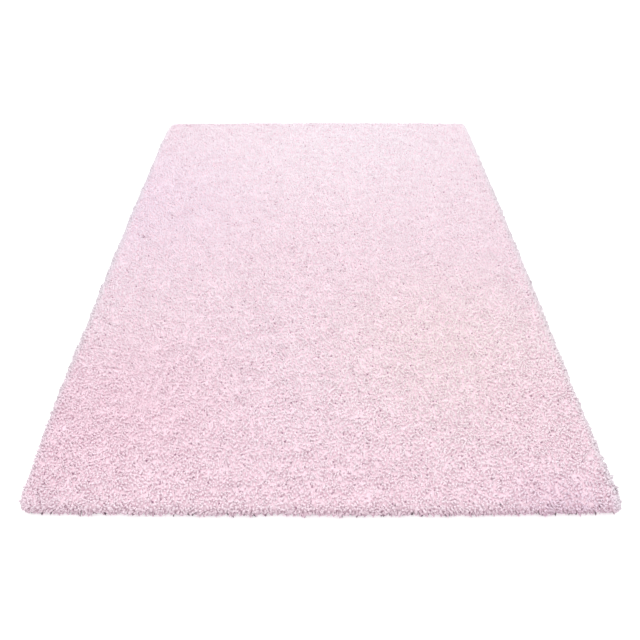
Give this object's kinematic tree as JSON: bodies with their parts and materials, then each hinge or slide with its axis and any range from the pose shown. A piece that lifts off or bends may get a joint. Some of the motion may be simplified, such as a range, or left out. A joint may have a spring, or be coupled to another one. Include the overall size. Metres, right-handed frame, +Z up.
{
  "type": "shag rug",
  "caption": "Rectangular shag rug lying flat, with deep cut pile and soft locks of yarn leaning over its edges.",
  "frame": {"origin": "middle of the rug's footprint, on the floor", "axes": "+Z up from the floor through the pile, +Y along the rug's length, +X across its width"},
  "size_m": [1.2211, 1.7201, 0.0397],
  "materials": {
    "pile_yarn": "matte pale pink cut pile"
  },
  "bodies": {
    "root": {"rug": "pile_yarn"}
  },
  "joints": []
}
